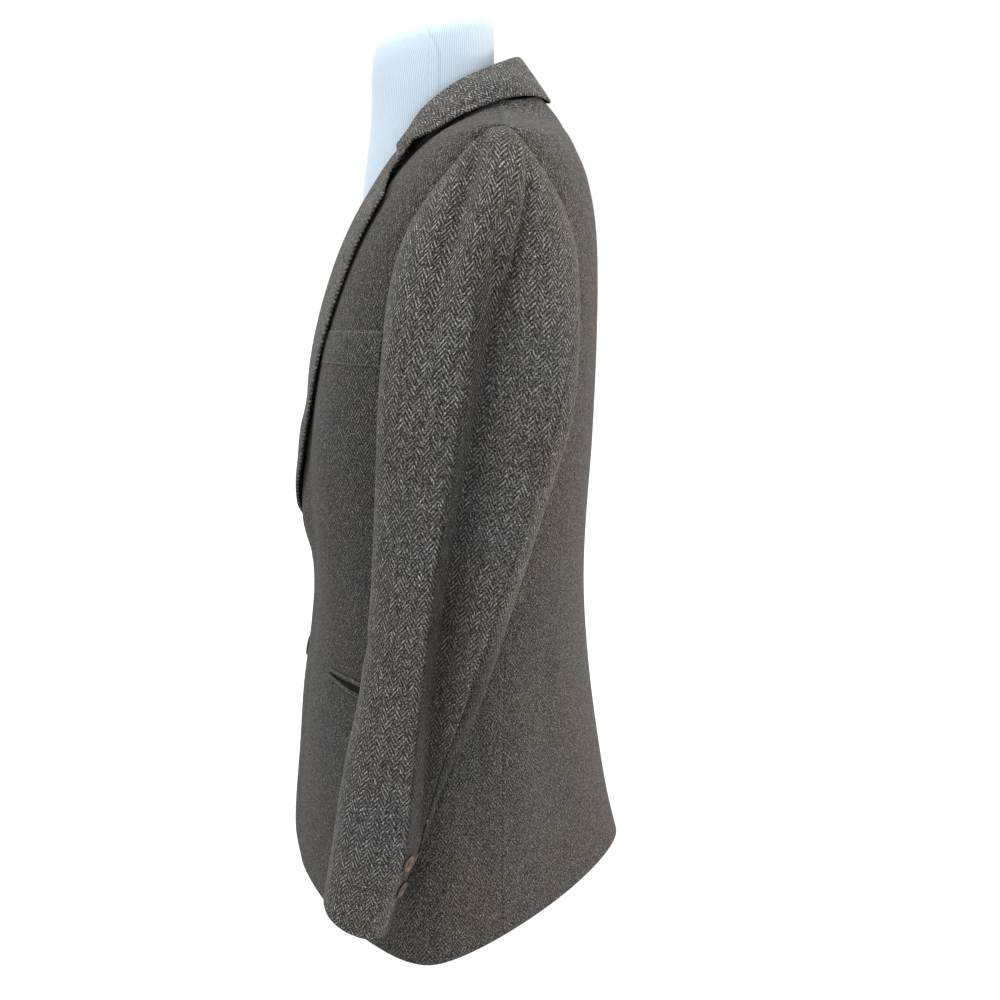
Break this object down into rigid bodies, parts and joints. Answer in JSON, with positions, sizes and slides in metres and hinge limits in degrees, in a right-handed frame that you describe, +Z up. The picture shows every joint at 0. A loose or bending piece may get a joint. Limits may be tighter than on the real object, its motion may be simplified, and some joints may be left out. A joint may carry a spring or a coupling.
{
  "type": "tweed hacking jacket on dress form",
  "caption": "Single-breasted tweed jacket with notched lapels, welt breast pocket and slanted hip pockets, worn on a limbless dress form.",
  "frame": {"origin": "centre of the dress form's flat base, on the floor", "axes": "+Z up; the wearer faces -Y and the wearer's left side is +X"},
  "size_m": [0.5816, 0.3414, 0.8333],
  "materials": {
    "tweed": "brown and grey herringbone wool tweed, matt",
    "pocketing": "dark cloth inside the pocket mouths, matt",
    "horn": "pale horn-like resin, satin",
    "form_cover": "white ribbed jersey over a hard form, matt"
  },
  "bodies": {
    "root": {"dress_form": "form_cover", "back_left": "tweed", "back_right": "tweed", "front_left": "tweed", "front_right": "tweed", "side_left": "tweed", "side_right": "tweed", "top_sleeve_left": "tweed", "top_sleeve_right": "tweed", "under_sleeve_left": "tweed", "under_sleeve_right": "tweed", "lapel_left": "tweed", "lapel_right": "tweed", "collar": "tweed", "breast_welt": "tweed", "hip_jet_upper_left": "tweed", "hip_pocket_mouth_left": "pocketing", "hip_jet_lower_left": "tweed", "hip_jet_upper_right": "tweed", "hip_pocket_mouth_right": "pocketing", "hip_jet_lower_right": "tweed", "front_button_1": "horn", "front_button_2": "horn", "cuff_button_1_left": "horn", "cuff_button_2_left": "horn", "cuff_button_1_right": "horn", "cuff_button_2_right": "horn"}
  },
  "joints": []
}
